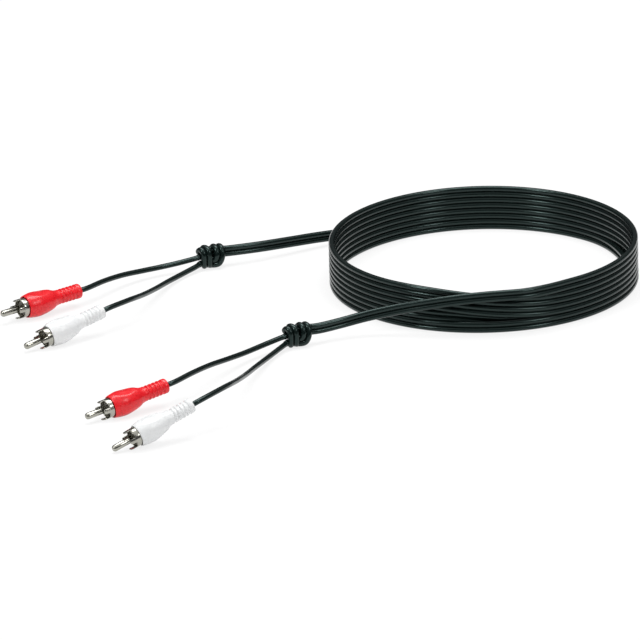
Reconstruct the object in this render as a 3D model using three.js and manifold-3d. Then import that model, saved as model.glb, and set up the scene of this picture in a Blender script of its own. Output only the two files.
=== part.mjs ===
// A stereo phono lead. Its figure-8 cord is wound into an upright coil one cord thick, and knotted
// at both ends, where the two cores part into legs that end in a red and a white moulded plug.
// Millimetres, +Z up. The lead lies on z = 0, with the origin under the middle of its bounding box.
import * as THREE from "three";
import { mergeVertices } from "three/addons/utils/BufferGeometryUtils.js";
import Module from "manifold-3d";

const wasm = await Module();
wasm.setup();

// Cord and coil
const coreDia = 2.6; // jacket of one core, and so of a leg
const coreSpacing = 2.7; // between the centres of the two cores
const webThickness = 1.5; // where the two jackets join
const knotCoreDia = 2.9; // in the knots, where the cores are pulled tight on each other
const coilRadius = 72.2; // middle of the coil's wall
const turnPitch = 5.5; // height of one turn of the upright twin
const turns = 4; // turns in the coil's wall
const joins = { back: 106, front: -85 }; // degrees round the coil, where the two leads meet it
const tucks = { back: 45, front: -50 }; // degrees round the coil, where the leads go into its wall
const clearance = 0.3; // between pieces that touch

// Plug, in distances back from the pin's tip along its axis
const pinDia = 3.2;
const faceStart = 12.9; // the insulator's front face
const seatDepth = 1.2; // of the insulator's seat for the pin's head
const shankDia = 2.0;
const cupDia = 2.5;
const cupBore = 1.6;
const cupLength = 3.0;
const shellDia = 9.2;
const shellWall = 0.45;
const prongStart = 7.9;
const prongLength = 3.1;
const prongAngle = 29; // degrees of the circle that one prong takes
const prongTaper = 0.2; // by which the prongs' ends lie nearer to the axis
const prongBend = 1.4; // length of the bent end
const prongs = 4;
const bootStart = 13.6;
const shellDepth = 3.6; // how far the shell reaches into the boot
const spigotDia = 5.4;
const spigotLength = 1.6; // of the insulator, past the shell's end wall
const tagWidth = 2.2;
const tagThickness = 0.5;
const tagLength = 3.6;
const barrelDia = 12.4;
const barrelPlace = 20; // widest place of the barrel
const rimDia = 10.8;
const rimPlace = 14.1;
const rimRound = 0.2;
const neckPlace = 32;
const barrelSlope = [[0.285, 0.86], [0.52, 0.65], [0.684, 0.456], [0.835, 0.14]]; // shares of the way
const reliefDia = 7.1;
const plugLength = 44.5;
const legStraight = 4; // of a leg, behind the strain relief
const endRound = 0.7; // rounding of the strain relief's end
const ribs = 5;
const ribPitch = 2;
const ribDepth = 0.5;
const ribCollar = 1.9; // plain end of the strain relief
const roomDia = 8; // hollow in the boot, around the joints
const roomEnd = 26.5;
const jacketEnd = 25.4; // where the leg's jacket ends inside the boot
const dentLength = 11;
const dentWidth = 8;
const dentDepth = 0.7;
const dentPlace = 22;

// Inside the plug
const coreInsulationDia = 1.8;
const coreInsulationStart = 22.6;
const conductorDia = 0.8;
const conductorInCup = 1.9;
const braidDia = 1.0;

// Where the four plugs lie, from the place where their end's lead meets the coil: the pin's tip, the
// heading of the axis from the tip to the cord, the nose's dip, and the prongs' turn about the axis
const plugs = [
  { name: "back_red", colour: 0xe0202a, tip: [-208.2, -117.8], heading: 34.3, dip: 2.3, roll: -10 },
  { name: "back_white", colour: 0xe6e6e2, tip: [-196.7, -156.5], heading: 33.3, dip: 10.7, roll: -10 },
  { name: "front_red", colour: 0xe0202a, tip: [-194.6, -107.1], heading: 32, dip: 7.7, roll: -10 },
  { name: "front_white", colour: 0xe6e6e2, tip: [-181.9, -146.6], heading: 30, dip: 17, roll: -10 },
];

// Where the two knots lie, and the free stretches of the legs, from the knot to the plug, and of
// the twin, from the knot to the coil, all from the same place
const knots = {
  back: { at: [-109, -44.1, 5.81], heading: 14 },
  front: { at: [-95.9, -8.8, 5.81], heading: 18 },
};
const legRoutes = {
  back_red: [
    [-124.9, -51.3, 4.82], [-133.2, -54.9, 4.34], [-141.7, -60.3, 4.65],
    [-150.9, -68.2, 5.64], [-159.7, -79.1, 6.83],
  ],
  back_white: [
    [-122.7, -59.2, 2.13], [-129.4, -70.7, 2.69], [-135.3, -85.8, 4.72],
    [-141.2, -102.8, 7.95], [-147.7, -118.7, 11.26],
  ],
  front_red: [
    [-112.4, -20.8, 4.8], [-120.8, -30.2, 4.78], [-128.5, -40.9, 5.96],
    [-136.5, -53.7, 7.95], [-144.6, -68.5, 9.85],
  ],
  front_white: [
    [-109.4, -30.2, 2.5], [-115.6, -48.9, 4.57], [-120.4, -70.3, 8.59],
    [-124.8, -91.4, 13.45], [-130.6, -109.7, 17.12],
  ],
};
const leadRoutes = {
  back: [
    [-85.7, -36.1, 6.73], [-71.3, -28.3, 5.98], [-57.3, -20.1, 5.06],
    [-43.4, -13.3, 4.15], [-29.3, -8.1, 3.39], [-14.9, -3.9, 2.86],
  ],
  front: [
    [-6.4, -0.4, 18.92], [-19.3, 0.2, 17.6], [-34, 2.2, 15.07],
    [-48.3, 4.4, 12.08], [-63, 3.9, 9.29], [-75.3, -0.1, 7.59],
  ],
};

// The knotted twin's middle line in the knot's own frame, x towards the coil and z up, and how far
// its two cores lie one above the other: 90 is upright, 0 side by side. It runs in along the
// middle, turns up at the far side, winds down in front and round behind, curls over the near
// side and leaves under its own first wind, where the cores part.
const knotRoute = [
  [6.9, 0.5, 1.2, 90], [5.6, 0.5, 1.2, 90], [3.4, 0.7, 1.2, 90], [0, 1.3, 1.4, 90], [-3.2, 1.3, 1.7, 80],
  [-4.7, 0.7, 3.1, 40], [-3.9, -1.1, 4, 8], [-3.1, -3, 2.9, 0], [-2.9, -3.6, -0.5, 0],
  [-2.6, -2.6, -3.8, 0], [-1.4, 0.5, -4.4, 0], [0.4, 3, -2.9, 0], [1.9, 3.5, 0.8, 0],
  [2.8, 1.4, 3.8, 0], [3.4, -1.6, 3.8, -5], [3.5, -3.4, 0.8, -20], [2.2, -3.2, -2.2, -60],
  [-0.6, -1.9, -2.7, -85], [-3.6, -1, -2.3, -90],
];
const knotExits = {
  red: [[-5.2, -1.3, 0.3], [-7, -1.7, 0.1]],
  white: [[-5.2, -2, -2.7], [-6.9, -3.5, -2.9]],
};
const knotSteps = 24;

const black = new THREE.MeshStandardMaterial({ color: 0x101312, roughness: 0.38, metalness: 0 });
const nickel = new THREE.MeshStandardMaterial({ color: 0xbdb9ae, roughness: 0.22, metalness: 1 });
const nylon = new THREE.MeshStandardMaterial({ color: 0x1c1c1c, roughness: 0.6, metalness: 0 });
const clear = new THREE.MeshStandardMaterial({ color: 0xe9e6da, roughness: 0.5, metalness: 0 });
const copper = new THREE.MeshStandardMaterial({ color: 0xb8703f, roughness: 0.35, metalness: 1 });

const coreRadius = coreDia / 2;
const twinHeight = coreSpacing + coreDia;
const radians = THREE.MathUtils.degToRad;
const outerRadius = coilRadius + coreDia + clearance; // of the leads, where they lie along the wall
const topTurnHeight = (turns - 1) * turnPitch + twinHeight / 2;

function vectors(points) {
  return points.map(([x, y, z]) => new THREE.Vector3(x, y, z));
}

// The closed solid of a geometry, and the geometry of a solid
function solidOf(geometry) {
  const bare = new THREE.BufferGeometry();
  bare.setAttribute("position", geometry.getAttribute("position"));
  if (geometry.index) bare.setIndex(geometry.index);
  const merged = mergeVertices(bare, 1e-4);
  const vertProperties = merged.attributes.position.array;
  const triVerts = new Uint32Array(merged.index.array);
  return new wasm.Manifold(new wasm.Mesh({ numProp: 3, vertProperties, triVerts }));
}

function geometryOf(solid) {
  const mesh = solid.getMesh();
  const geometry = new THREE.BufferGeometry();
  geometry.setAttribute("position", new THREE.BufferAttribute(mesh.vertProperties, 3));
  geometry.setIndex(new THREE.BufferAttribute(mesh.triVerts, 1));
  geometry.computeVertexNormals();
  return geometry;
}

function named(name, geometry, material) {
  const mesh = new THREE.Mesh(geometry, material);
  mesh.name = name;
  return mesh;
}

// A solid of revolution about the plug's axis, from [distance, radius] pairs
function turned(profile, segments) {
  const points = profile.map(([distance, radius]) => new THREE.Vector2(radius, distance));
  return new THREE.LatheGeometry(points, segments).rotateZ(-Math.PI / 2);
}

// A section pushed along a curve, with flat ends
function pushed(section, curve, steps) {
  return new THREE.ExtrudeGeometry(section, { steps, bevelEnabled: false, extrudePath: curve });
}

function roundSection(diameter, sides) {
  const corner = (i) => {
    const angle = (2 * Math.PI * (i + 0.5)) / sides;
    return new THREE.Vector2(Math.cos(angle), Math.sin(angle)).multiplyScalar(diameter / 2);
  };
  return new THREE.Shape(Array.from({ length: sides }, (_, i) => corner(i)));
}

// The figure-8 of the twin, long way along x
function twinSection() {
  const core = (side) =>
    [-120, -60, 0, 60, 120].map((degrees) => {
      const angle = radians(degrees);
      const x = coreSpacing / 2 + coreRadius * Math.cos(angle);
      return new THREE.Vector2(side * x, side * coreRadius * Math.sin(angle));
    });
  const waist = (side) => new THREE.Vector2(0, (side * webThickness) / 2);
  return new THREE.Shape([...core(1), waist(1), ...core(-1), waist(-1)]);
}

function lengthOf(points) {
  return points.slice(1).reduce((sum, p, i) => sum + p.distanceTo(points[i]), 0);
}

// Smooth curve through the points of a route, and a tube along it with a step every few diameters
function tubeAlong(section, width, points) {
  const curve = new THREE.CatmullRomCurve3(points, false, "centripetal");
  return pushed(section, curve, Math.round(lengthOf(points) / (2.5 * width)));
}

// A place at one end of the lead, from its distances to where the lead meets the coil
function placed(end, [x, y, z]) {
  return onOuterTurn(joins[end], z).add(new THREE.Vector3(x, y, 0));
}

// One core of the knot, which passes close to itself, as the union of short straight lengths
function knotCore(colour) {
  const which = colour === "red" ? -1 : 1;
  const middle = new THREE.CatmullRomCurve3(vectors(knotRoute), false, "centripetal");
  const points = knotRoute.map(([, , , lean], i) => {
    const t = i / (knotRoute.length - 1);
    const along = middle.getTangent(t);
    const side = new THREE.Vector3(Math.cos(radians(lean)), 0, Math.sin(radians(lean)));
    side.addScaledVector(along, -along.dot(side)).normalize();
    return middle.getPoint(t).addScaledVector(side, (which * coreSpacing) / 2);
  });
  const curve = new THREE.CatmullRomCurve3([...points, ...vectors(knotExits[colour])], false, "centripetal");
  const { normals, binormals } = curve.computeFrenetFrames(knotSteps);
  const rings = normals.map((normal, i) =>
    roundSection(knotCoreDia, 8).getPoints().map(({ x, y }) => {
      const corner = curve.getPointAt(i / knotSteps);
      return corner.addScaledVector(normal, x).addScaledVector(binormals[i], y).toArray();
    }),
  );
  return rings.slice(1).map((ring, i) => wasm.Manifold.hull([...rings[i], ...ring]));
}

function knotMatrix(end) {
  const turn = new THREE.Matrix4().makeRotationZ(radians(knots[end].heading));
  return turn.setPosition(placed(end, knots[end].at));
}

// A place straight on from the last two points of a route in the knot's frame
function beyond(end, points, away) {
  const [inner, last] = vectors(points);
  const step = last.clone().sub(inner).setLength(away);
  return last.add(step).applyMatrix4(knotMatrix(end));
}

function leadStart(end, away) {
  return beyond(end, [knotRoute[1], knotRoute[0]], clearance + away);
}

function makeKnot(end) {
  const solid = wasm.Manifold.union([...knotCore("red"), ...knotCore("white")]);
  const outside = solid.decompose().reduce((a, b) => (a.volume() > b.volume() ? a : b));
  const mesh = named(end + "_knot", geometryOf(outside), black);
  mesh.applyMatrix4(knotMatrix(end));
  return mesh;
}

// The wound turns: a ring whose section shows each core's round edge
function coilSection() {
  const rise = (core) => Math.floor(core / 2) * turnPitch + (core % 2) * coreSpacing + coreRadius;
  const waist = coreRadius * 0.6;
  const outer = [[waist, 0]];
  for (let core = 0; core < 2 * turns; core++) {
    outer.push([coreRadius, rise(core)]);
    const next = core + 1 < 2 * turns ? (rise(core) + rise(core + 1)) / 2 : rise(core) + coreRadius;
    outer.push([waist, next]);
  }
  const inner = outer.map(([offset, z]) => [-offset, z]).reverse();
  return [...outer, ...inner, outer[0]].map(([offset, z]) => new THREE.Vector2(coilRadius + offset, z));
}

function makeCoil() {
  const ring = new THREE.LatheGeometry(coilSection(), 40).rotateX(Math.PI / 2);
  return named("coil", ring, black);
}

function onOuterTurn(degrees, height) {
  const angle = radians(degrees);
  return new THREE.Vector3(outerRadius * Math.cos(angle), outerRadius * Math.sin(angle), height);
}

// The places of a lead along the outside of the wall
function alongWall(from, to, height) {
  const steps = Math.ceil(Math.abs(to - from) / 9);
  const places = Array.from({ length: steps + 1 }, (_, i) => THREE.MathUtils.lerp(from, to, i / steps));
  return places.map((degrees) => onOuterTurn(degrees, height));
}

// Twin from the back knot to the foot of the coil, and from the coil's top to the front knot
function makeBackLead() {
  const route = leadRoutes.back.map((point) => placed("back", point));
  const around = alongWall(joins.back, tucks.back, twinHeight / 2);
  const points = [leadStart("back", 0), leadStart("back", 4), ...route, ...around];
  return named("back_lead", tubeAlong(twinSection(), coreDia * 1.5, points), black);
}

function makeFrontLead() {
  const around = alongWall(tucks.front, joins.front, topTurnHeight);
  const route = leadRoutes.front.map((point) => placed("front", point));
  const points = [...around, ...route, leadStart("front", 4), leadStart("front", 0)];
  return named("front_lead", tubeAlong(twinSection(), coreDia * 1.5, points), black);
}

// A plug's own frame: x back along the axis from the pin's tip, z up at no roll. The plug rests on
// its barrel, or with the nose dipped on the boot's rim or the prongs' ends.
function plugMatrix({ name, tip, heading, dip, roll }) {
  const prongEnd = [prongStart, shellDia / 2 - prongTaper];
  const rests = [[barrelPlace, barrelDia / 2], [rimPlace, rimDia / 2], prongEnd];
  const heights = rests.map(([distance, radius]) => {
    return radius * Math.cos(radians(dip)) - distance * Math.sin(radians(dip));
  });
  const turn = new THREE.Euler(radians(roll), radians(-dip), radians(heading), "ZYX");
  const place = placed(name.split("_")[0], [...tip, Math.max(...heights)]);
  return new THREE.Matrix4().makeRotationFromEuler(turn).setPosition(place);
}

function bootProfile() {
  const reliefRadius = reliefDia / 2;
  const bore = coreRadius + clearance;
  const mouth = shellDia / 2 + clearance;
  const mouthEnd = bootStart + shellDepth + clearance;
  const ribsStart = plugLength - ribCollar - ribs * ribPitch;
  const shoulder = barrelSlope.map(([along, up]) => [
    THREE.MathUtils.lerp(barrelPlace, neckPlace, along),
    THREE.MathUtils.lerp(reliefRadius, barrelDia / 2, up),
  ]);
  const grooves = Array.from({ length: ribs }, (_, i) => {
    const start = ribsStart + i * ribPitch;
    return [
      [start, reliefRadius],
      [start + ribPitch / 2, reliefRadius - ribDepth],
    ];
  }).flat();
  return [
    [bootStart, mouth],
    [bootStart, rimDia / 2 - rimRound],
    [rimPlace, rimDia / 2],
    [(bootStart + barrelPlace) / 2, barrelDia / 2 - 0.3],
    [barrelPlace, barrelDia / 2],
    ...shoulder,
    [neckPlace, reliefRadius],
    ...grooves,
    [plugLength - endRound, reliefRadius],
    [plugLength, reliefRadius - endRound],
    [plugLength, bore],
    [roomEnd, bore],
    [roomEnd, roomDia / 2],
    [mouthEnd, roomDia / 2],
    [mouthEnd, mouth],
    [bootStart, mouth],
  ];
}

// The thumb rest: a shallow oval dish in the top of the barrel
function dishSolid() {
  const dish = new THREE.SphereGeometry(1, 16, 12);
  const depth = 4;
  const widen = 1 / Math.sqrt(1 - (1 - dentDepth / depth) ** 2);
  dish.scale((dentLength / 2) * widen, (dentWidth / 2) * widen, depth);
  dish.translate(dentPlace, 0, barrelDia / 2 - 0.35 - dentDepth + depth);
  return solidOf(dish);
}

function makeBoot({ name, colour, roll }) {
  const body = solidOf(turned(bootProfile(), 14));
  const dish = dishSolid().rotate([-roll, 0, 0]);
  const material = new THREE.MeshStandardMaterial({ color: colour, roughness: 0.3, metalness: 0 });
  return named(name + "_boot", geometryOf(body.subtract(dish)), material);
}

// One gap between two prongs, as a wedge from the axis outwards
function prongGap(index) {
  const step = (2 * Math.PI) / prongs;
  const half = (step - radians(prongAngle)) / 2;
  const reach = shellDia;
  const corner = (angle) => new THREE.Vector2(reach * Math.cos(angle), reach * Math.sin(angle));
  const middle = (index + 0.5) * step;
  const outline = new THREE.Shape([new THREE.Vector2(0, 0), corner(middle - half), corner(middle + half)]);
  const wedge = new THREE.ExtrudeGeometry(outline, { depth: prongLength + 1, bevelEnabled: false });
  return solidOf(wedge.rotateY(Math.PI / 2).translate(prongStart - 1, 0, 0));
}

function makeShell({ name }) {
  const outer = shellDia / 2;
  const inner = outer - shellWall;
  const end = bootStart + shellDepth;
  const hole = spigotDia / 2 + clearance;
  const sleeve = [
    [prongStart, inner - prongTaper], [prongStart, outer - prongTaper], [prongStart + prongBend, outer],
    [end, outer], [end, hole], [end - shellWall, hole], [end - shellWall, inner],
    [prongStart + prongBend, inner], [prongStart, inner - prongTaper],
  ];
  const tag = new THREE.BoxGeometry(tagLength + 0.2, tagWidth, tagThickness);
  tag.translate(end + tagLength / 2 - 0.1, 0, -hole - tagThickness / 2);
  let solid = solidOf(turned(sleeve, 20)).add(solidOf(tag));
  for (let i = 0; i < prongs; i++) {
    solid = solid.subtract(prongGap(i));
  }
  return named(name + "_ground_shell", geometryOf(solid), nickel);
}

function makeInsulator({ name }) {
  const bore = shankDia / 2 + clearance;
  const outer = shellDia / 2 - shellWall - clearance;
  const seat = pinDia / 2 + clearance;
  const shoulder = bootStart + shellDepth - shellWall - clearance;
  const end = bootStart + shellDepth + spigotLength;
  const profile = [
    [faceStart, seat], [faceStart, outer], [shoulder, outer], [shoulder, spigotDia / 2],
    [end, spigotDia / 2], [end, bore], [faceStart + seatDepth, bore], [faceStart + seatDepth, seat],
    [faceStart, seat],
  ];
  return named(name + "_insulator", turned(profile, 14), nylon);
}

const cupStart = bootStart + shellDepth + spigotLength + clearance;

function makePin({ name }) {
  const r = pinDia / 2;
  const tip = [[0, 0], [0, r * 0.4], [r * 0.25, r * 0.8], [r * 0.9, r]];
  const shoulder = faceStart + seatDepth - clearance;
  const profile = [
    ...tip, [shoulder, r], [shoulder, shankDia / 2], [cupStart, shankDia / 2],
    [cupStart, cupDia / 2], [cupStart + cupLength, cupDia / 2], [cupStart + cupLength, cupBore / 2],
    [cupStart + cupLength - conductorInCup - clearance, cupBore / 2],
    [cupStart + cupLength - conductorInCup - clearance, 0],
  ];
  return named(name + "_centre_pin", turned(profile, 10), nickel);
}

function makeConductor({ name }) {
  const start = cupStart + cupLength - conductorInCup;
  const end = coreInsulationStart - clearance;
  const wire = turned([[start, 0], [start, conductorDia / 2], [end, conductorDia / 2], [end, 0]], 8);
  return named(name + "_conductor", wire, copper);
}

function makeCoreInsulation({ name }) {
  const end = jacketEnd - clearance;
  const r = coreInsulationDia / 2;
  const profile = [[coreInsulationStart, 0], [coreInsulationStart, r], [end, r], [end, 0]];
  return named(name + "_core_insulation", turned(profile, 10), clear);
}

// The core's braid, twisted together and laid on the shell's tag
function makeBraidTail({ name }) {
  const r = braidDia / 2;
  const onTag = -(spigotDia / 2 + clearance) + clearance + r;
  const tagEnd = bootStart + shellDepth + tagLength;
  const besideCore = -(coreInsulationDia / 2 + clearance + r);
  const points = vectors([
    [tagEnd - 1.5, 0, onTag], [tagEnd - 0.6, 0, onTag], [tagEnd + 1.2, 0, (onTag + besideCore) / 2],
    [tagEnd + 3.2, 0, besideCore], [jacketEnd - clearance, 0, besideCore],
  ]);
  const curve = new THREE.CatmullRomCurve3(points, false, "centripetal");
  return named(name + "_braid_tail", pushed(roundSection(braidDia, 6), curve, 8), copper);
}

function makePlug(plug) {
  const group = new THREE.Group();
  group.add(makeBoot(plug), makeShell(plug), makeInsulator(plug), makePin(plug));
  group.add(makeConductor(plug), makeCoreInsulation(plug), makeBraidTail(plug));
  group.applyMatrix4(plugMatrix(plug));
  return group;
}

// A leg: out of the knot, along its route, and straight through the strain relief to the joints
function makeLeg(plug) {
  const [end, colour] = plug.name.split("_");
  const start = [0, 1.5].map((away) => beyond(end, knotExits[colour], clearance + away));
  const route = legRoutes[plug.name].map((point) => placed(end, point));
  const inPlug = [plugLength + legStraight, plugLength, (plugLength + jacketEnd) / 2, jacketEnd];
  const inside = inPlug.map((distance) => new THREE.Vector3(distance, 0, 0).applyMatrix4(plugMatrix(plug)));
  const points = [...start, ...route, ...inside];
  return named(plug.name + "_leg", tubeAlong(roundSection(coreDia, 8), coreDia, points), black);
}

const lead = new THREE.Group();
lead.add(makeCoil(), makeBackLead(), makeFrontLead());
lead.add(makeKnot("back"), makeKnot("front"));
for (const plug of plugs) {
  lead.add(makePlug(plug), makeLeg(plug));
}
const box = new THREE.Box3().setFromObject(lead, true);
lead.position.set(-(box.min.x + box.max.x) / 2, -(box.min.y + box.max.y) / 2, -box.min.z);

const group = new THREE.Group();
group.add(lead);
export default group;
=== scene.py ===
from math import cos, hypot, pi, radians, sin, sqrt
import bpy
from mathutils import Matrix, Vector


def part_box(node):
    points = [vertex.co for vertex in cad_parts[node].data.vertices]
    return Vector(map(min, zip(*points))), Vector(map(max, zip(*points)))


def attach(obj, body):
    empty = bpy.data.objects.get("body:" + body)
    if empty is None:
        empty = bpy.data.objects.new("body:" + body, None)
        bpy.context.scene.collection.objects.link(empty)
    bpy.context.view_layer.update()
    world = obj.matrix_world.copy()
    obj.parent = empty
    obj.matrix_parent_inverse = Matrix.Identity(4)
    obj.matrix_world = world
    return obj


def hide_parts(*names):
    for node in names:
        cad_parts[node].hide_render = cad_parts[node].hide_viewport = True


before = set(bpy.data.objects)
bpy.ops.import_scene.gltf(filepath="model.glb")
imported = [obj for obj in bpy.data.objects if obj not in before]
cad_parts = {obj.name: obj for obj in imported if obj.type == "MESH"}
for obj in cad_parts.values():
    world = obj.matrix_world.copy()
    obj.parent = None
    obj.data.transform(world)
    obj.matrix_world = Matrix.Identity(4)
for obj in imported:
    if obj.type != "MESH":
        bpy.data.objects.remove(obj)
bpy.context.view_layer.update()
print("frame loaded,", len(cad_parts), "nodes")

# Sizes and places are in mm. Places are counted from the coil's middle at floor level, but those
# of the leads, knots, legs and plugs from where their lead meets the coil.
mm = 0.001
upward = Vector((0, 0, 1))
coilLow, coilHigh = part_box("coil")
coilMiddle = Vector(((coilLow.x + coilHigh.x) / 2, (coilLow.y + coilHigh.y) / 2, coilLow.z))

cameraSetup = {
    "aim": (-78.4, -10.42, -14.29),
    "elevation": 20.1,
    "roll": 1.4,  # the left side hangs lower
    "frameWidth": 304,  # across the picture at the coil
    "lens": 800,
    "sensor": 36,
    "clipEnd": 60,  # metres
}


def inFrame(point):
    return coilMiddle + Vector(point) * mm


def makeCamera(setup):
    camera = bpy.data.objects.new("camera", bpy.data.cameras.new("camera"))
    bpy.context.scene.collection.objects.link(camera)
    camera.data.lens = setup["lens"]
    camera.data.sensor_width = setup["sensor"]
    camera.data.clip_end = setup["clipEnd"]
    elevation, roll = radians(setup["elevation"]), radians(setup["roll"])
    right = Vector((1, 0, 0))
    up = Vector((0, sin(elevation), cos(elevation)))
    back = right.cross(up)
    tiltedRight = right * cos(roll) - up * sin(roll)
    tiltedUp = right * sin(roll) + up * cos(roll)
    distance = setup["frameWidth"] * mm * setup["lens"] / setup["sensor"]
    place = inFrame(setup["aim"]) + back * distance
    turn = Matrix((tiltedRight, tiltedUp, back)).transposed().to_4x4()
    camera.matrix_world = Matrix.Translation(place) @ turn
    bpy.context.scene.camera = camera


makeCamera(cameraSetup)
print("camera made")


def smoothStep(value):
    value = min(max(value, 0), 1)
    return value * value * (3 - 2 * value)


def smoothRoute(points, steps):  # a smooth curve through the points, that many steps between two
    points = [Vector(p) for p in points]
    points = [points[0] * 2 - points[1], *points, points[-1] * 2 - points[-2]]
    route = []
    for a, b, c, d in zip(points, points[1:], points[2:], points[3:]):
        ab, bc, cd = (sqrt(max((q - p).length, 1e-6)) for p, q in ((a, b), (b, c), (c, d)))
        slopeB = ((b - a) / ab - (c - a) / (ab + bc) + (c - b) / bc) * bc
        slopeC = ((c - b) / bc - (d - b) / (bc + cd) + (d - c) / cd) * bc
        for i in range(steps):
            t = i / steps
            route.append(
                b * (2 * t**3 - 3 * t**2 + 1) + slopeB * (t**3 - 2 * t**2 + t)
                + c * (3 * t**2 - 2 * t**3) + slopeC * (t**3 - t**2)
            )
    return route + [points[-2]]


def tangentsOf(route):
    inner = [(after - before).normalized() for before, after in zip(route, route[2:])]
    return [(route[1] - route[0]).normalized(), *inner, (route[-1] - route[-2]).normalized()]


def routeLength(route):
    return sum((q - p).length for p, q in zip(route, route[1:]))


def makePiece(name, vertices, faces, material):
    mesh = bpy.data.meshes.new(name)
    mesh.from_pydata([tuple(v) for v in vertices], [], faces)
    mesh.validate()
    for polygon in mesh.polygons:
        polygon.use_smooth = True
    piece = bpy.data.objects.new(name, mesh)
    bpy.context.scene.collection.objects.link(piece)
    mesh.materials.append(material)
    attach(piece, "root")
    return piece


def quadsBetween(row, nextRow, sides):  # first vertices of two rings of that many sides
    return [
        (row + s, row + (s + 1) % sides, nextRow + (s + 1) % sides, nextRow + s)
        for s in range(sides)
    ]


def tubeFaces(rings, sides, first=0):  # with a face over each end
    faces = []
    for r in range(rings - 1):
        faces += quadsBetween(first + r * sides, first + (r + 1) * sides, sides)
    start = tuple(first + s for s in reversed(range(sides)))
    end = tuple(first + (rings - 1) * sides + s for s in range(sides))
    return faces + [start, end]


def loopFaces(rings, sides):  # the last ring joins the first
    faces = []
    for r in range(rings):
        faces += quadsBetween(r * sides, (r + 1) % rings * sides, sides)
    return faces


def sweepRings(route, section, longWays):  # section points are (along the long way, across it)
    vertices = []
    for point, tangent, longWay in zip(route, tangentsOf(route), longWays):
        longWay = (longWay - tangent * longWay.dot(tangent)).normalized()
        across = tangent.cross(longWay)
        vertices += [point + longWay * a + across * b for a, b in section]
    return vertices


def roundSection(diameter, sides):
    return [
        (cos(2 * pi * i / sides) * diameter / 2, sin(2 * pi * i / sides) * diameter / 2)
        for i in range(sides)
    ]


class Link:  # a node's output, so that shader maths reads as maths
    def __init__(self, finish, socket):
        self.finish = finish
        self.socket = socket

    def maths(self, operation, first, second):
        return self.finish.add("ShaderNodeMath", {"operation": operation}, {0: first, 1: second})

    def __add__(self, other):
        return self.maths("ADD", self, other)

    def __radd__(self, other):
        return self.maths("ADD", other, self)

    def __sub__(self, other):
        return self.maths("SUBTRACT", self, other)

    def __rsub__(self, other):
        return self.maths("SUBTRACT", other, self)

    def __mul__(self, other):
        return self.maths("MULTIPLY", self, other)

    def __rmul__(self, other):
        return self.maths("MULTIPLY", other, self)


class Finish:  # a material or a world that is built node by node
    def __init__(self, owner):
        owner.use_nodes = True
        self.owner = owner
        self.tree = owner.node_tree
        self.tree.nodes.clear()

    def add(self, kind, settings=None, sockets=None, output=0):
        node = self.tree.nodes.new(kind)
        for name, value in (settings or {}).items():
            if name == "stops":
                ramp = node.color_ramp.elements
                while len(ramp) < len(value):
                    ramp.new(0.5)
                for element, (position, colour) in zip(ramp, value):
                    element.position = position
                    element.color = (*colour, 1)
            else:
                setattr(node, name, value)
        for name, value in (sockets or {}).items():
            if isinstance(value, Link):
                self.tree.links.new(value.socket, node.inputs[name])
            else:
                node.inputs[name].default_value = value
        return Link(self, node.outputs[output]) if node.outputs else None

    def noise(self, scale, detail):
        where = self.add("ShaderNodeTexCoord", output="Object")
        return self.add("ShaderNodeTexNoise", {}, {
            "Vector": where, "Scale": scale, "Detail": detail,
        })

    def mixColours(self, share, first, second):
        return self.add("ShaderNodeMix", {"data_type": "RGBA"}, {
            0: share, 6: (*first, 1), 7: (*second, 1),
        }, output=2)

    def bump(self, height, depth):  # depth in mm
        return self.add("ShaderNodeBump", {}, {
            "Height": height, "Distance": depth * mm, "Strength": 1.0,
        })

    def surface(self, sockets):
        shader = self.add("ShaderNodeBsdfPrincipled", {}, sockets)
        self.add("ShaderNodeOutputMaterial", {}, {"Surface": shader})
        return self.owner


def newFinish(name):
    return Finish(bpy.data.materials.new(name))


# In each look, spread is how far the roughness varies, and grain is mm deep.
blackVinylLook = {
    "dark": (0.0022, 0.0050, 0.0045), "light": (0.0045, 0.0088, 0.0082),
    "sheen": (0.72, 1.0, 0.95, 1.0), "specular": 0.38,
    "roughness": 0.2, "spread": 0.1, "grain": 0.003,
    "cloudScale": 160, "skinScale": 700,
}


def makeCordVinyl(name, look):
    finish = newFinish(name)
    cloud = finish.noise(look["cloudScale"], 3)
    skin = finish.noise(look["skinScale"], 2)
    return finish.surface({
        "Base Color": finish.mixColours(cloud, look["dark"], look["light"]),
        "Roughness": look["roughness"] + (cloud - 0.5) * look["spread"],
        "Normal": finish.bump(skin, look["grain"]),
        "Specular IOR Level": look["specular"],
        "Specular Tint": look["sheen"],
    })


bootVinylLook = {
    "specular": 0.45, "roughness": 0.28, "spread": 0.08, "grain": 0.006,
    "cloudScale": 220, "skinScale": 900,
}
redVinylLook = {"dark": (0.68, 0.006, 0.012), "light": (0.84, 0.014, 0.022), **bootVinylLook}
whiteVinylLook = {"dark": (0.74, 0.75, 0.76), "light": (0.83, 0.84, 0.835), **bootVinylLook}


def makeBootVinyl(name, look):
    finish = newFinish(name)
    cloud = finish.noise(look["cloudScale"], 3)
    skin = finish.noise(look["skinScale"], 2)
    return finish.surface({
        "Base Color": finish.mixColours(cloud, look["dark"], look["light"]),
        "Roughness": look["roughness"] + (skin - 0.5) * look["spread"],
        "Normal": finish.bump(skin, look["grain"]),
        "Specular IOR Level": look["specular"],
    })


nickelLook = {
    "dark": (0.32, 0.315, 0.275), "light": (0.47, 0.465, 0.415),
    "roughness": 0.13, "spread": 0.08, "grain": 0.001,
    "tarnishScale": 330, "polishScale": 1200,
}


def makeNickel(name, look):
    finish = newFinish(name)
    tarnish = finish.noise(look["tarnishScale"], 4)
    polish = finish.noise(look["polishScale"], 2)
    return finish.surface({
        "Base Color": finish.mixColours(tarnish, look["dark"], look["light"]),
        "Metallic": 1.0,
        "Roughness": look["roughness"] + tarnish * look["spread"],
        "Normal": finish.bump(polish, look["grain"]),
    })


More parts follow.
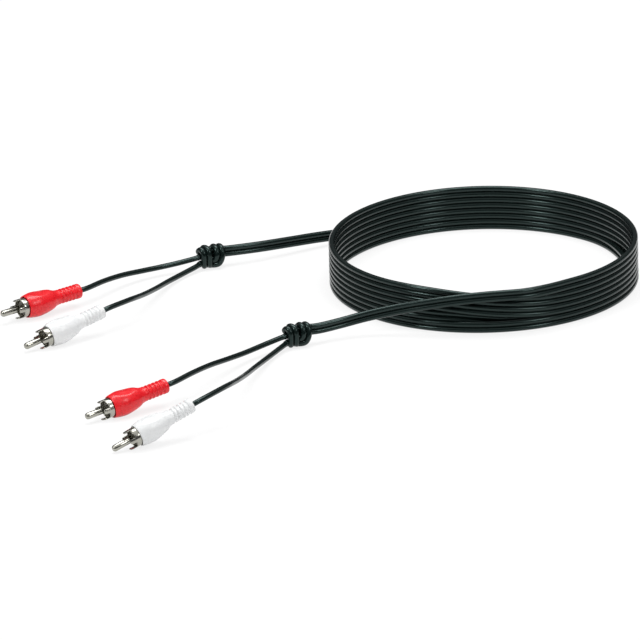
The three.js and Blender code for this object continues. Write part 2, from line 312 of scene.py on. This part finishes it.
# the pieces that the boots hide, though the insulator's face shows
innerLooks = {
    "greyNylon": {
        "dark": (0.3, 0.29, 0.255), "light": (0.37, 0.36, 0.32), "metallic": 0.0,
        "roughness": 0.35, "spread": 0.15, "grain": 0.005, "scale": 900,
    },
    "polythene": {
        "dark": (0.7, 0.68, 0.6), "light": (0.82, 0.8, 0.74), "metallic": 0.0,
        "roughness": 0.45, "spread": 0.15, "grain": 0.02, "scale": 900,
    },
    "bareCopper": {
        "dark": (0.62, 0.26, 0.12), "light": (0.8, 0.4, 0.24), "metallic": 1.0,
        "roughness": 0.3, "spread": 0.15, "grain": 0.04, "scale": 2200,
    },
}


def makeInner(name, look):
    finish = newFinish(name)
    cloud = finish.noise(look["scale"], 3)
    return finish.surface({
        "Base Color": finish.mixColours(cloud, look["dark"], look["light"]),
        "Metallic": look["metallic"],
        "Roughness": look["roughness"] + (cloud - 0.5) * look["spread"],
        "Normal": finish.bump(cloud, look["grain"]),
    })


blackVinyl = makeCordVinyl("blackVinyl", blackVinylLook)
redVinyl = makeBootVinyl("redVinyl", redVinylLook)
whiteVinyl = makeBootVinyl("whiteVinyl", whiteVinylLook)
nickelPlate = makeNickel("nickelPlate", nickelLook)
greyNylon, polythene, bareCopper = (makeInner(name, look) for name, look in innerLooks.items())
print("finishes made")


# The twin runs from the back knot, down round the coil from its back join, clockwise as seen
# from above, and out to the front knot. The degrees below are round the coil.
twinCord = {
    "coreDia": 2.72, "coreSpacing": 2.75, "web": 0.5, "width": 5.3, "arcPoints": 20,
    "coilRadius": 72.2, "outerRadius": 75.1, "innerRadius": 69.3,
    "turnPitch": 5.5, "bottomHeight": 2.65, "turns": 4,
    "joins": {"back": 106, "front": -85},
    "tuckIn": (45, 12),  # where the first turn moves from outside into the wall
    "climb": (-60, -120),  # where a turn rises on the one below
    "stepIn": (-93, -118),  # where the second turn comes out into the wall
    "stepOut": (-55, -80),  # where the last turn moves outside the others
    "wave": {"depth": 0.1, "quick": 1.7, "slow": 0.37, "start": 40},  # unevenness of the turns
    "degreesPerPoint": 9, "smoothing": 4,
    "inKnot": -0.4, "offKnot": 4.3,  # the route's points at a knot, past its last point
    "length": 2.26,  # metres
    "leadRoutes": {
        "back": [(-85.7, -36.1, 6.73), (-71.3, -28.3, 5.98), (-57.3, -20.1, 5.06),
                 (-43.4, -13.3, 4.15), (-29.3, -8.1, 3.39), (-14.9, -3.9, 2.86)],
        "front": [(-6.4, -0.4, 18.92), (-19.3, 0.2, 17.6), (-34, 2.2, 15.07),
                  (-48.3, 4.4, 12.08), (-63, 3.9, 9.29), (-75.3, -0.1, 7.59)],
    },
}
knotPlaces = {
    "back": {"at": (-109, -44.1, 5.81), "heading": 14},
    "front": {"at": (-95.9, -8.8, 5.81), "heading": 18},
}
# in the knot's own frame: x towards the coil, z up, and the lean of the pair of cores, from
# 0 side by side to 90 one above the other
knotRoute = [
    (6.9, 0.5, 1.2, 90), (5.6, 0.5, 1.2, 90), (3.4, 0.7, 1.2, 90), (0, 1.3, 1.4, 90),
    (-3.2, 1.3, 1.7, 80), (-4.7, 0.7, 3.1, 40), (-3.9, -1.1, 4, 8), (-3.1, -3, 2.9, 0),
    (-2.9, -3.6, -0.5, 0), (-2.6, -2.6, -3.8, 0), (-1.4, 0.5, -4.4, 0), (0.4, 3, -2.9, 0),
    (1.9, 3.5, 0.8, 0), (2.8, 1.4, 3.8, 0), (3.4, -1.6, 3.8, -5), (3.5, -3.4, 0.8, -20),
    (2.2, -3.2, -2.2, -60), (-0.6, -1.9, -2.7, -85), (-3.6, -1, -2.3, -90),
]
knotExits = {
    "red": [(-5.2, -1.3, 0.3), (-7, -1.7, 0.1)],
    "white": [(-5.2, -2, -2.7), (-6.9, -3.5, -2.9)],
}


def onCoil(degrees, radius, height):
    return Vector((radius * cos(radians(degrees)), radius * sin(radians(degrees)), height))


def placed(end, point):  # counted from where that end's lead meets the coil
    foot = onCoil(twinCord["joins"][end], twinCord["outerRadius"], 0)
    return inFrame(foot + Vector(point))


def knotMatrix(end):
    place = placed(end, knotPlaces[end]["at"])
    return Matrix.Translation(place) @ Matrix.Rotation(radians(knotPlaces[end]["heading"]), 4, "Z")


def beyond(end, inner, last, away):  # straight on from the last two points of a knot's route
    inner, last = Vector(inner[:3]), Vector(last[:3])
    return knotMatrix(end) @ ((last + (last - inner).normalized() * away) * mm)


def leadStart(end, away):
    return beyond(end, knotRoute[1], knotRoute[0], away)


def coilPoint(degrees, cord):
    def passed(key, turn):  # from 0 to 1 over that stretch of that turn
        begin, end = cord[key]
        return smoothStep((begin - 360 * turn - degrees) / (begin - end))

    risen = sum(passed("climb", turn) for turn in range(1, cord["turns"]))
    outside = 1 - passed("tuckIn", 0) + passed("stepOut", cord["turns"])
    inside = passed("tuckIn", 1) - passed("stepIn", 1)
    wave = cord["wave"]
    quick = sin(radians(degrees * wave["quick"] + wave["start"]))
    slow = sin(radians(degrees * wave["slow"]))
    radius = (
        cord["coilRadius"] + (cord["outerRadius"] - cord["coilRadius"]) * outside
        + (cord["innerRadius"] - cord["coilRadius"]) * inside
        + wave["depth"] * quick * slow * (1 - outside)
    )
    return inFrame(onCoil(degrees, radius, cord["bottomHeight"] + cord["turnPitch"] * risen))


def twinSection(cord):  # the figure-8, long way first
    radius, half = cord["coreDia"] / 2, cord["coreSpacing"] / 2
    opening = pi - cord["web"] / cord["coreDia"]  # each core's arc ends at the web
    last = cord["arcPoints"] - 1
    angles = [opening * (2 * i / last - 1) for i in range(cord["arcPoints"])]
    arc = [(half + radius * cos(a), radius * sin(a)) for a in angles]
    return [(a * mm, b * mm) for a, b in arc + [(-a, -b) for a, b in arc]]


def makeTwin(cord):
    firstDegrees = cord["joins"]["back"]
    lastDegrees = cord["joins"]["front"] - 360 * cord["turns"]
    steps = round((firstDegrees - lastDegrees) / cord["degreesPerPoint"])
    around = [
        coilPoint(firstDegrees + (lastDegrees - firstDegrees) * i / steps, cord)
        for i in range(steps + 1)
    ]
    start = [leadStart("back", cord["inKnot"]), leadStart("back", cord["offKnot"])]
    end = [leadStart("front", cord["offKnot"]), leadStart("front", cord["inKnot"])]
    backLead = [placed("back", p) for p in cord["leadRoutes"]["back"]]
    frontLead = [placed("front", p) for p in cord["leadRoutes"]["front"]]
    route = smoothRoute([*start, *backLead, *around, *frontLead, *end], cord["smoothing"])
    section = twinSection(cord)
    vertices = sweepRings(route, section, [upward] * len(route))
    faces = tubeFaces(len(route), len(section))
    return makePiece("twinCord", vertices, faces, blackVinyl), route


twin, twinRoute = makeTwin(twinCord)
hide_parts("coil", "back_lead", "front_lead")
print("twin cord made,", round(routeLength(twinRoute), 3), "m")

knotShape = {"coreDia": 2.9, "sides": 18, "smoothing": 8}


def coreRoute(end, colour, shape):  # one core beside the knot's route, then out to its leg
    which = -1 if colour == "red" else 1
    middle = smoothRoute([Vector(p[:3]) for p in knotRoute], 1)
    points = []
    for point, tangent, (_, _, _, lean) in zip(middle, tangentsOf(middle), knotRoute):
        side = Vector((cos(radians(lean)), 0, sin(radians(lean))))
        side = (side - tangent * side.dot(tangent)).normalized()
        points.append(point + side * which * twinCord["coreSpacing"] / 2)
    points += [Vector(p) for p in knotExits[colour]]
    return [knotMatrix(end) @ (p * mm) for p in smoothRoute(points, shape["smoothing"])]


def carriedAlong(route, first):  # a side vector that turns as little as it can
    sides = []
    side = first
    for tangent in tangentsOf(route):
        side = (side - tangent * side.dot(tangent)).normalized()
        sides.append(side)
    return sides


def makeKnot(end, shape):
    vertices, faces = [], []
    section = roundSection(shape["coreDia"] * mm, shape["sides"])
    for colour in knotExits:
        route = coreRoute(end, colour, shape)
        faces += tubeFaces(len(route), len(section), len(vertices))
        vertices += sweepRings(route, section, carriedAlong(route, upward))
    knot = makePiece(end + "Knot", vertices, faces, blackVinyl)
    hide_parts(end + "_knot")
    return knot


knots = [makeKnot(end, knotShape) for end in knotPlaces]
leadStart("back", 0)
print("knots made")

# Distances along a plug run back from its pin's tip.
plugPlaces = {
    "back_red": {"tip": (-208.2, -117.8), "heading": 34.3, "dip": 2.3},
    "back_white": {"tip": (-196.7, -156.5), "heading": 33.3, "dip": 10.7},
    "front_red": {"tip": (-194.6, -107.1), "heading": 32, "dip": 7.7},
    "front_white": {"tip": (-181.9, -146.6), "heading": 30, "dip": 17},
}
# distance and radius of the places that a plug can rest on: barrel, boot's rim, prongs' ends
restPlaces = [(20, 6.2), (14.1, 5.4), (7.9, 4.4)]


def plugMatrix(name, roll=0.0):  # x runs back from the pin's tip, z is up
    plug = plugPlaces[name]
    dip = radians(plug["dip"])
    height = max(radius * cos(dip) - distance * sin(dip) for distance, radius in restPlaces)
    place = placed(name.split("_")[0], (*plug["tip"], height))
    turn = Matrix.Rotation(radians(plug["heading"]), 4, "Z") @ Matrix.Rotation(-dip, 4, "Y")
    return Matrix.Translation(place) @ turn @ Matrix.Rotation(radians(roll), 4, "X")


def plugPoint(matrix, distance, radius, angle):
    return matrix @ (Vector((distance, radius * cos(angle), radius * sin(angle))) * mm)


def turned(matrix, profile, sides, shift=None):  # a profile of (distance, radius) about the axis
    vertices = []
    for distance, radius in profile:
        for i in range(sides):
            angle = 2 * pi * i / sides
            here = radius + (shift(distance, radius, angle) if shift else 0)
            vertices.append(plugPoint(matrix, distance, here, angle))
    return vertices


def pieceName(name, part):  # back_red and Boot give BackRedBoot
    return name.title().replace("_", "") + part


bootShape = {
    "start": 13.6, "length": 44.5, "sides": 72,
    "lip": [(0, 4.98), (0.06, 5.13), (0.22, 5.28)],  # from the start
    "outline": [(14.1, 5.4), (15.2, 5.66), (16.8, 5.92), (18.4, 6.13), (20, 6.2), (21.7, 6.09),
                (23.4, 5.83), (24.9, 5.56), (26.2, 5.27), (27.3, 5.0), (28.2, 4.73), (29.1, 4.3),
                (30, 3.92), (31, 3.67), (31.8, 3.56), (32.3, 3.55)],
    "smoothing": 3,
    "relief": 3.55, "ribsStart": 32.6, "ribs": 5, "ribPitch": 2, "ribDepth": 0.55,
    "groove": [(0, 0), (0.1, 0.25), (0.18, 0.75), (0.28, 1),  # shares of the pitch and depth
               (0.42, 1), (0.52, 0.75), (0.6, 0.25), (0.7, 0)],
    "endRound": 0.7, "endAngles": (0, 22, 45, 68, 90),
    "mouth": 4.75, "mouthEnd": 17.5, "mouthChamfer": (0.25, 0.2),
    "room": 4, "roomEnd": 26.5, "bore": 1.33,
    "dentPlace": 21.5, "dentLength": 12, "dentWidth": 8.4, "dentDepth": 0.7, "dentFlat": 0.45,
}


def bootProfile(shape):
    start, end, relief = shape["start"], shape["length"], shape["relief"]
    lip = [(start + distance, radius) for distance, radius in shape["lip"]]
    outline = [(v.x, v.y) for v in smoothRoute([(*p, 0) for p in shape["outline"]], shape["smoothing"])]
    ribs = [
        (shape["ribsStart"] + (i + share) * shape["ribPitch"], relief - deep * shape["ribDepth"])
        for i in range(shape["ribs"]) for share, deep in shape["groove"]
    ]
    soft = shape["endRound"]
    close = [
        (end - soft + soft * sin(radians(a)), relief - soft + soft * cos(radians(a)))
        for a in shape["endAngles"]
    ]
    chamferLength, chamferRise = shape["mouthChamfer"]
    inside = [
        (end, shape["bore"]), (shape["roomEnd"], shape["bore"]), (shape["roomEnd"], shape["room"]),
        (shape["mouthEnd"], shape["room"]), (shape["mouthEnd"], shape["mouth"]),
        (start + chamferLength, shape["mouth"]), (start, shape["mouth"] + chamferRise),
    ]
    return [*lip, *outline, *ribs, *close, *inside]


def makeBoot(name, shape):
    def thumbRest(distance, radius, angle):  # a shallow oval dish in the top of the barrel
        if radius < shape["relief"] or sin(angle) < 0:
            return 0
        along = (distance - shape["dentPlace"]) / (shape["dentLength"] / 2)
        across = radius * cos(angle) / (shape["dentWidth"] / 2)
        slope = (hypot(along, across) - shape["dentFlat"]) / (1 - shape["dentFlat"])
        return -shape["dentDepth"] * (1 - smoothStep(slope))

    profile = bootProfile(shape)
    red = name.endswith("red")
    boot = makePiece(
        pieceName(name, "Boot"), turned(plugMatrix(name), profile, shape["sides"], thumbRest),
        loopFaces(len(profile), shape["sides"]), redVinyl if red else whiteVinyl,
    )
    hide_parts(name + "_boot")
    return boot


shellShape = {
    "prongStart": 7.9, "prongLength": 3.1, "prongAngle": 29, "prongs": 4, "roll": -10,
    "radius": 4.375, "wall": 0.45, "end": 17.2, "endHole": 3, "cells": 96, "tipTaper": 0.2,
    # distance from the prong's end, share of the taper, share of the prong's width
    "prongRows": [(0, 1, 0.62), (0.22, 0.9, 0.88), (0.6, 0.6, 1), (1.5, 0, 1)],
    "rootRows": (-0.8, 0, 1.1),  # from the prongs' roots
    "edgeRound": 0.07, "edgeSegments": 2, "edgeAngle": 50,
}


def makeShell(name, shape):  # a sheet with its prongs cut free, then given the plate's thickness
    matrix = plugMatrix(name, shape["roll"])
    cells, radius = shape["cells"], shape["radius"]
    root = shape["prongStart"] + shape["prongLength"]
    between = 360 / shape["prongs"]
    halfWall = shape["wall"] / 2
    rows = [
        (shape["prongStart"] + distance, radius - shape["tipTaper"] * taper, width)
        for distance, taper, width in shape["prongRows"]
    ]
    rows += [(root + distance, radius, 1) for distance in shape["rootRows"]]
    rows += [
        (shape["end"] - halfWall, radius, 1), (shape["end"] - halfWall, shape["endHole"] + halfWall, 1),
    ]
    vertices, faces = [], []
    for distance, rowRadius, width in rows:
        for i in range(cells):
            degrees = 360 * i / cells
            prong = round(degrees / between) * between
            if distance < root:
                degrees = prong + (degrees - prong) * width
            vertices.append(plugPoint(matrix, distance, rowRadius, radians(degrees)))
    for r in range(len(rows) - 1):
        for i, quad in enumerate(quadsBetween(r * cells, (r + 1) * cells, cells)):
            middle = 360 * (i + 0.5) / cells
            fromProng = abs((middle + between / 2) % between - between / 2)
            if rows[r][0] >= root or fromProng < shape["prongAngle"] / 2:
                faces.append(quad)
    vertices, faces = onlyUsed(vertices, faces)
    shell = makePiece(pieceName(name, "Shell"), vertices, faces, nickelPlate)
    plate = shell.modifiers.new("plate", "SOLIDIFY")
    plate.thickness = shape["wall"] * mm
    plate.offset = 0
    edge = shell.modifiers.new("edge", "BEVEL")
    edge.width = shape["edgeRound"] * mm
    edge.segments = shape["edgeSegments"]
    edge.limit_method = "ANGLE"
    edge.angle_limit = radians(shape["edgeAngle"])
    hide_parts(name + "_ground_shell")
    return shell


def onlyUsed(vertices, faces):  # without the vertices that no face uses
    used = sorted({v for face in faces for v in face})
    renumber = {old: new for new, old in enumerate(used)}
    return [vertices[v] for v in used], [tuple(renumber[v] for v in face) for face in faces]


pinShape = {
    "radius": 1.6, "tipLength": 1.5, "tipFlat": 0.14, "noseFlat": 0.25, "noseBluntness": 0.8,
    "noseAngles": (3, 10, 18, 27, 36, 46, 57, 68, 79, 90), "axisRadius": 0.02,
    "shoulder": 13.8, "shoulderChamfer": (0.15, 0.12), "shank": 1,
    "cupStart": 19.1, "cup": 1.25, "cupBore": 0.8, "cupLength": 3, "cupDepth": 2.2, "sides": 40,
}


def makePin(name, shape):
    radius, flat = shape["radius"], shape["noseFlat"]
    nose = [
        (shape["tipLength"] * (1 - cos(radians(a))),
         flat + (radius - flat) * sin(radians(a)) ** shape["noseBluntness"])
        for a in shape["noseAngles"]
    ]
    chamferLength, chamferRise = shape["shoulderChamfer"]
    shoulder, cupStart = shape["shoulder"], shape["cupStart"]
    cupEnd = cupStart + shape["cupLength"]
    cupFloor = cupEnd - shape["cupDepth"]
    profile = [
        (0, shape["axisRadius"]), (0, shape["tipFlat"]), *nose,
        (shoulder - chamferLength, radius), (shoulder, radius - chamferRise),
        (shoulder, shape["shank"]), (cupStart, shape["shank"]), (cupStart, shape["cup"]),
        (cupEnd, shape["cup"]), (cupEnd, shape["cupBore"]), (cupFloor, shape["cupBore"]),
        (cupFloor, shape["axisRadius"]),
    ]
    pin = makePiece(
        pieceName(name, "Pin"), turned(plugMatrix(name), profile, shape["sides"]),
        tubeFaces(len(profile), shape["sides"]), nickelPlate,
    )
    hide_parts(name + "_centre_pin")
    return pin


insulatorShape = {
    "face": 12.9, "seat": 1.68, "seatDepth": 1.2, "outer": 4.1, "chamfer": 0.15,
    "grooveDepth": 0.35, "grooveRadii": (2.35, 2.5, 3.2, 3.35),
    "shoulder": 16.4, "spigot": 2.7, "end": 18.8, "bore": 1.05, "sides": 56,
}


def makeInsulator(name, shape):
    face, outer, chamfer = shape["face"], shape["outer"], shape["chamfer"]
    grooveFloor = face + shape["grooveDepth"]
    seatFloor = face + shape["seatDepth"]
    grooveA, grooveB, grooveC, grooveD = shape["grooveRadii"]
    profile = [
        (face, shape["seat"]), (face, grooveA), (grooveFloor, grooveB), (grooveFloor, grooveC),
        (face, grooveD), (face, outer - chamfer), (face + chamfer, outer),
        (shape["shoulder"], outer), (shape["shoulder"], shape["spigot"]),
        (shape["end"], shape["spigot"]), (shape["end"], shape["bore"]),
        (seatFloor, shape["bore"]), (seatFloor, shape["seat"]),
    ]
    insulator = makePiece(
        pieceName(name, "Insulator"), turned(plugMatrix(name), profile, shape["sides"]),
        loopFaces(len(profile), shape["sides"]), greyNylon,
    )
    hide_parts(name + "_insulator")
    return insulator


legShape = {
    "coreDia": 2.6, "sides": 20, "smoothing": 10,
    "inKnot": -0.4, "offKnot": 1.8,  # the route's points at the knot, past its last point
    "straight": 4, "jacketEnd": 25.4,  # behind the boot, and inside it
    "lengths": {"back_red": 0.093, "back_white": 0.116, "front_red": 0.110, "front_white": 0.142},
    "routes": {
        "back_red": [(-124.9, -51.3, 4.82), (-133.2, -54.9, 4.34), (-141.7, -60.3, 4.65),
                     (-150.9, -68.2, 5.64), (-159.7, -79.1, 6.83)],
        "back_white": [(-122.7, -59.2, 2.13), (-129.4, -70.7, 2.69), (-135.3, -85.8, 4.72),
                       (-141.2, -102.8, 7.95), (-147.7, -118.7, 11.26)],
        "front_red": [(-112.4, -20.8, 4.8), (-120.8, -30.2, 4.78), (-128.5, -40.9, 5.96),
                      (-136.5, -53.7, 7.95), (-144.6, -68.5, 9.85)],
        "front_white": [(-109.4, -30.2, 2.5), (-115.6, -48.9, 4.57), (-120.4, -70.3, 8.59),
                        (-124.8, -91.4, 13.45), (-130.6, -109.7, 17.12)],
    },
}


def makeLeg(name, shape):
    end, colour = name.split("_")
    start = [beyond(end, *knotExits[colour], away) for away in (shape["inKnot"], shape["offKnot"])]
    free = [placed(end, p) for p in shape["routes"][name]]
    bootEnd, jacketEnd = bootShape["length"], shape["jacketEnd"]
    inPlug = [
        plugPoint(plugMatrix(name), distance, 0, 0)
        for distance in (bootEnd + shape["straight"], bootEnd, (bootEnd + jacketEnd) / 2, jacketEnd)
    ]
    route = smoothRoute([*start, *free, *inPlug], shape["smoothing"])
    section = roundSection(shape["coreDia"] * mm, shape["sides"])
    leg = makePiece(
        pieceName(name, "Leg"), sweepRings(route, section, [upward] * len(route)),
        tubeFaces(len(route), len(section)), blackVinyl,
    )
    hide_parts(name + "_leg")
    return leg, route


def dressNode(node, material):
    node.data.materials.clear()
    node.data.materials.append(material)
    return node


hiddenFinishes = {"conductor": bareCopper, "braid_tail": bareCopper, "core_insulation": polythene}
for name in plugPlaces:
    end, colour = name.split("_")
    pieces = [
        makeBoot(name, bootShape), makeShell(name, shellShape), makePin(name, pinShape),
        makeInsulator(name, insulatorShape),
    ]
    for part, material in hiddenFinishes.items():
        pieces.append(dressNode(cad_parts[name + "_" + part], material))
    leg, legRoute = makeLeg(name, legShape)
    beyond(end, *knotExits[colour], 0)
    print(name, "plug and leg made, leg", round(routeLength(legRoute), 4), "m")

floorLook = {"size": 6, "white": 0.86, "glow": 1.02, "glowShare": 0.78}  # size in metres


def makeFloor(look):  # white to the camera and in reflections, with the shadow still on it
    finish = newFinish("paleFloor")
    seen = finish.add("ShaderNodeLightPath", output="Is Camera Ray")
    seen = seen + finish.add("ShaderNodeLightPath", output="Is Glossy Ray")
    seen = seen + finish.add("ShaderNodeLightPath", output="Is Transmission Ray")
    matt = finish.add("ShaderNodeBsdfDiffuse", {}, {"Color": (look["white"],) * 3 + (1,)})
    glow = finish.add("ShaderNodeEmission", {}, {"Color": (1, 1, 1, 1), "Strength": look["glow"]})
    mixed = finish.add("ShaderNodeMixShader", {}, {0: seen * look["glowShare"], 1: matt, 2: glow})
    finish.add("ShaderNodeOutputMaterial", {}, {"Surface": mixed})
    half = look["size"] / 2
    corners = [(-half, -half, 0), (half, -half, 0), (half, half, 0), (-half, half, 0)]
    mesh = bpy.data.meshes.new("floor")
    mesh.from_pydata(corners, [], [(0, 1, 2, 3)])
    floor = bpy.data.objects.new("floor", mesh)
    bpy.context.scene.collection.objects.link(floor)
    mesh.materials.append(finish.owner)


# from straight down, 0, to straight up, 1
skyLook = {
    "stops": [(0.0, (0.9, 0.9, 0.9)), (0.5, (0.06, 0.06, 0.065)), (0.68, (0.1, 0.1, 0.105)),
              (0.82, (0.34, 0.34, 0.34)), (0.92, (0.8, 0.8, 0.8)), (1.0, (1.0, 1.0, 1.0))],
    "strength": 1.0,
}


def makeWorld(look):
    world = bpy.data.worlds.new("studio")
    bpy.context.scene.world = world
    finish = Finish(world)
    where = finish.add("ShaderNodeTexCoord", output="Generated")
    height = finish.add("ShaderNodeSeparateXYZ", {}, {"Vector": where}, output="Z")
    colour = finish.add("ShaderNodeValToRGB", {"stops": look["stops"]}, {"Fac": height * 0.5 + 0.5})
    sky = finish.add("ShaderNodeBackground", {}, {"Color": colour, "Strength": look["strength"]})
    finish.add("ShaderNodeOutputWorld", {}, {"Surface": sky})


# place in metres, size of the soft box and watts; each lamp faces the middle of the frame
lamps = {
    "overhead": {"at": (0.05, 0.25, 1.1), "size": (0.9, 0.5), "watts": 9},
    "left": {"at": (-0.9, -0.7, 1.0), "size": (0.3, 0.4), "watts": 6},
    "right": {"at": (0.9, -0.8, 0.9), "size": (0.3, 0.4), "watts": 3.5},
}


def makeLamp(name, setup):
    lamp = bpy.data.objects.new(name, bpy.data.lights.new(name, "AREA"))
    bpy.context.scene.collection.objects.link(lamp)
    lamp.data.shape = "RECTANGLE"
    lamp.data.size, lamp.data.size_y = setup["size"]
    lamp.data.energy = setup["watts"]
    lamp.location = setup["at"]
    lamp.rotation_mode = "QUATERNION"
    lamp.rotation_quaternion = Vector(setup["at"]).to_track_quat("Z", "Y")


makeFloor(floorLook)
makeWorld(skyLook)
for name, setup in lamps.items():
    makeLamp(name, setup)
bpy.context.scene.view_settings.view_transform = "Standard"
print("floor, world and lamps made")
